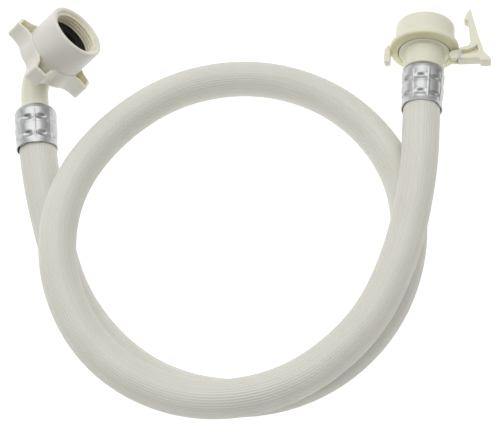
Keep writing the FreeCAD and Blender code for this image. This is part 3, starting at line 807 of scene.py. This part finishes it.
def nut_mesh():
    """Winged nut as rings: underside, wings, their pockets, barrel, mouth and thread."""
    angles, outer = wing_outline()
    one = np.ones(len(angles))
    local = (angles + math.pi / 4) % (math.pi / 2) - math.pi / 4
    pocket = np.interp(np.abs(local), np.radians([0.0, 6.3, 7.4, 10.5, 20.3, 45.0]),
                       [23.7, 23.85, 23.2, 19.5, 16.4, 13.0])
    inner = np.maximum(pocket, BARREL + 0.02)
    depth = smooth(pocket, BARREL + 0.05, BARREL + 0.9)
    edge = np.maximum(inner + 0.15, np.minimum(outer - 0.66, inner + 0.6))
    floor = wing_top(inner) - 0.3 - (wing_top(inner) - 2.5) * depth

    def level(*places):
        """Flat round rings, each at (radius, height)."""
        return [(r * one, z * one) for r, z in places]

    rows = level((TURNING_HOLE, UNDERSIDE), (11.7, UNDERSIDE), (12.0, UNDERSIDE - 0.3),
                 (12.0, 0.35), (12.35, 0.0))
    rows += [(outer - inset, z * one)
             for inset, z in ((0.8, 0.0), (0.35, 0.08), (0.10, 0.32), (0.0, 0.8))]
    rows += [(outer, 0.8 + share * (wing_top(outer) - 1.6)) for share in (0.2, 0.4, 0.6, 0.8)]
    rows += [(outer - inset, wing_top(outer) - drop)
             for inset, drop in ((0.0, 0.75), (0.05, 0.46), (0.19, 0.21), (0.40, 0.06))]
    rows += [(outer - 0.64, wing_top(outer)), (edge, wing_top(edge)),
             (inner + 0.05, wing_top(inner) - 0.06), (inner, wing_top(inner) - 0.25),
             (inner, floor + 0.3 * depth), (inner - (inner - BARREL) * 0.1, floor),
             (BARREL + (inner - BARREL) * 0.1, floor),
             (BARREL * one, floor + 0.3 * depth + 0.02)]
    rows += level(*((BARREL, z) for z in (SKIRT_TOP + 0.1, 12.6, 15.0, 19.0, 22.0, 25.0,
                                          27.4, MOUTH)))
    rows += level(*((BARREL - MOUTH_ROUND + MOUTH_ROUND * math.cos(math.pi / 2 * k / 6),
                     MOUTH + MOUTH_ROUND * math.sin(math.pi / 2 * k / 6))
                    for k in range(1, 7)))
    rows += level((14.7, 29.0), (14.35, 28.9), (13.9, 28.55), (13.65, 28.3), (13.55, 28.0),
                  (13.5, 27.85), (13.5, LEAD_FROM))
    for z in np.linspace(THREAD_TOP, THREAD_BOTTOM, THREAD_ROWS):
        fade = smooth(z, LEAD_FROM, LEAD_TO) if z > LEAD_TO else 1.0
        rows.append((LEAD_RADIUS + (thread_radius(z, angles) - LEAD_RADIUS) * fade, z * one))
    rows += level((13.2, 19.7), (13.0, NUT_FLOOR), (TURNING_HOLE, NUT_FLOOR))
    vertices = [(r * math.cos(a), r * math.sin(a), z)
                for ring, height in rows for r, z, a in zip(ring, height, angles)]
    return make_object("nut_piece", vertices,
                       grid_faces(len(rows), len(angles), close_rows=True), WHITE, NUT,
                       smooth_angle=38.0)


nut_piece = nut_mesh()


def in_nut_painted_bounce(at, normal):
    """Inside a wing's pocket, or inside the threaded mouth: the faces given painted warm bounce
    light.
    """
    out = at.xy.length
    if out < 14.3:
        return 15.0 < at.z < 27.9
    return 2.0 < at.z < SKIRT_TOP - 0.4 and BARREL - 0.2 < out < 24.2 and (
        abs(normal.z) > 0.7 or normal.xy.dot(at.xy) < 0)


# Painted bounce light: the pockets and the threaded mouth get the warmer cream copy.
tint(nut_piece, WHITE_PAINTED_BOUNCE, NUT, in_nut_painted_bounce)
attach(nut_piece, "nut")
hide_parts("wing_nut")

# ------------------------------------------------------------------ tap coupler
body_piece = turned("coupler_piece", [
    (WATERWAY, -15.0), (5.9, -15.0), (5.9, -TAP_NECK), (11.15, -TAP_NECK, 0.5),
    (11.05, -2.3, 0.6), (13.9, -2.3, 0.4), (13.9, 1.0), (10.8, 1.0, 0.5), (10.8, 14.0),
    (10.5, 14.0), (10.5, 15.0), (10.8, 15.0), (10.8, 15.4), (8.6, 15.4, 0.5), (8.6, 9.9),
    (8.3, 9.9), (8.3, 4.8), (8.7, 4.8), (8.7, 1.5), (WATERWAY, 1.5)],
    IVORY, COUPLER, columns=144)
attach(body_piece, "hose_assembly")
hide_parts("coupler_body")

sleeve_turning = turned("sleeve_turning", [
    (14.4, -2.0, 0.4), (19.0, -1.1, 1.2), (19.0, 2.6, 1.3), (16.35, 2.6, 0.9), (16.2, 15.3, 3.2),
    (13.5, 15.3, 0.5), (13.5, 13.7), (11.925, 13.7), (11.0, 10.0), (14.4, 10.0)],
    IVORY, COUPLER, columns=192)
# Painted shade: the flange's hose-facing face, turned away from the light, gets the darker
# yellower ivory.
tint(sleeve_turning, IVORY_PAINTED_SHADE, COUPLER,
     lambda at, normal: at.z < -0.5 and at.xy.length > 14.0)
TAB = [(-18.0, 0.2), (-18.0, 2.4), (-19.4, 3.2), (-20.4, 2.7), (-21.9, 0.0), (-21.9, -7.2),
       (-21.0, -8.3), (-19.2, -8.3), (-18.4, -7.2), (-18.4, 0.2)]
PIN = (16.5, -4.8)
TONGUE = ([(14.4, 0.6)] + arc_points(PIN, 2.1, math.pi, 2 * math.pi, 15)
          + [(18.4, 0.6)])
tab = plate("finger_tab", [fillet(TAB, 0.9)], half=2.5, material=IVORY, matrix=COUPLER,
            edge=0.5)
tongue = plate("hinge_tongue", [TONGUE], half=1.4, material=IVORY, matrix=COUPLER, edge=0.2)
sleeve_piece = join("sleeve_piece", [sleeve_turning, tab, tongue])
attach(sleeve_piece, "sleeve")
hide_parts("release_sleeve")

LEVER = [
    (24.2, 25.2), (22.4, 22.5), (21.1, 18.1), (23.6, 17.3), (24.0, 12.2), (24.8, 6.8),
    (25.3, 4.3), (24.4, 1.2), (22.3, 0.3), (20.0, 0.1), (19.4, -0.5), (19.4, -1.2),
    (18.4, -2.0), (18.4, -7.0), (19.2, -7.8), (29.6, -7.7), (31.0, -9.3), (35.8, -9.5),
    (36.3, -7.9), (32.5, -3.8), (30.3, 3.9), (27.4, 14.1), (24.9, 25.0)]
RECESS = [(20.6, -5.2), (25.1, -4.8), (28.6, -4.2), (29.3, -2.0), (28.7, 1.0), (27.1, -0.6),
          (24.2, -2.0), (20.6, -2.2)]
frame_plate = plate("lever_frame", [fillet(LEVER, 0.7), fillet(RECESS, 0.5)], half=3.2,
                    material=IVORY, matrix=COUPLER, edge=0.4)
# Painted shade: the web at the bottom of the lever's recess is made in the darker yellower
# ivory.
web_plate = plate("lever_web", [RECESS], half=0.8, material=IVORY_PAINTED_SHADE, matrix=COUPLER,
                  edge=0.1)
knuckles = []
for sign in (-1, 1):
    ring = arc_points(PIN, 2.7, 1.5 * math.pi, 0.5 * math.pi, 25)
    knuckles.append(plate("lever_cheek", [ring + [(20.4, -1.9), (20.4, -7.5)]], half=0.73,
                          material=IVORY, matrix=COUPLER, edge=0.25, middle=2.42 * sign))
lever_piece = join("lever_piece", [frame_plate, web_plate] + knuckles)
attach(lever_piece, "lever")
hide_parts("hook_lever")

# ------------------------------------------------------------------ sleeve spring
SPRING_RADIUS, SPRING_WIRE, SPRING_PITCH = 12.65, 0.45, 2.0
SPRING_LOW, SPRING_HIGH = 1.47, 8.0
SPRING_SIDES, STEPS_PER_TURN = 10, 72


def coil_faces(steps):
    """The wire's faces, turned to face outwards, with both its ends closed."""
    last = (steps - 1) * SPRING_SIDES
    return [face[::-1] for face in grid_faces(steps, SPRING_SIDES)] + [
        tuple(range(SPRING_SIDES)), tuple(reversed(range(last, last + SPRING_SIDES)))]


def coil():
    """Round wire wound up the coupler's axis."""
    turns = SPRING_HIGH / SPRING_PITCH
    steps = int(turns * STEPS_PER_TURN) + 1
    points = []
    for i in range(steps):
        wound = 2 * math.pi * turns * i / (steps - 1)
        height = SPRING_LOW + SPRING_HIGH * i / (steps - 1)
        for j in range(SPRING_SIDES):
            section = 2 * math.pi * j / SPRING_SIDES
            radius = SPRING_RADIUS + SPRING_WIRE * math.cos(section)
            points.append((radius * math.cos(wound), radius * math.sin(wound),
                           height + SPRING_WIRE * math.sin(section)))
    return make_object("spring_piece", points, coil_faces(steps), SPRING, COUPLER)


# The sleeve closes on the coil by its 5 mm of travel, towards the body's shoulder.
spring_piece = coil()
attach(spring_piece, "hose_assembly")
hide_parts("sleeve_spring")
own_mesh(spring_piece)

# ------------------------------------------------------------------ CAD pieces
# The small pieces are shown as they are. The others are hidden, each behind its own mesh.
for node, material in (
        ("nut_gasket", RUBBER), ("lip_seal", RUBBER), ("sleeve_stop_ring", WHITE),
        ("lever_pin", STEEL), ("sleeve_spring", SPRING), ("locking_jaw_1", ACETAL),
        ("locking_jaw_2", ACETAL), ("locking_jaw_3", ACETAL), ("locking_jaw_4", ACETAL),
        ("hose_cover", COVER), ("hose_braid", COVER), ("hose_liner", COVER),
        ("machine_end_ferrule", FERRULE), ("tap_end_ferrule", FERRULE),
        ("elbow_tail", IVORY), ("coupler_body", IVORY), ("release_sleeve", IVORY),
        ("hook_lever", IVORY), ("wing_nut", WHITE)):
    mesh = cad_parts[node].data
    mesh.materials.clear()
    mesh.materials.append(material)

# ------------------------------------------------------------------ table
SPREAD = 4.0
TABLE_TOP = -0.0002
floor_mesh = bpy.data.meshes.new("table")
floor_mesh.from_pydata([(-SPREAD, -SPREAD, TABLE_TOP), (SPREAD, -SPREAD, TABLE_TOP),
                        (SPREAD, SPREAD, TABLE_TOP), (-SPREAD, SPREAD, TABLE_TOP)], [],
                       [(0, 1, 2, 3)])
floor_mesh.materials.append(floor_material())
floor = bpy.data.objects.new("table", floor_mesh)
bpy.context.scene.collection.objects.link(floor)
floor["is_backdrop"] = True


def plain(value):
    """Numbers of a box as plain nested lists."""
    return [plain(v) for v in value] if hasattr(value, "__len__") else float(value)


{"cad": plain(CAD_BOX), "visual": plain(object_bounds())}
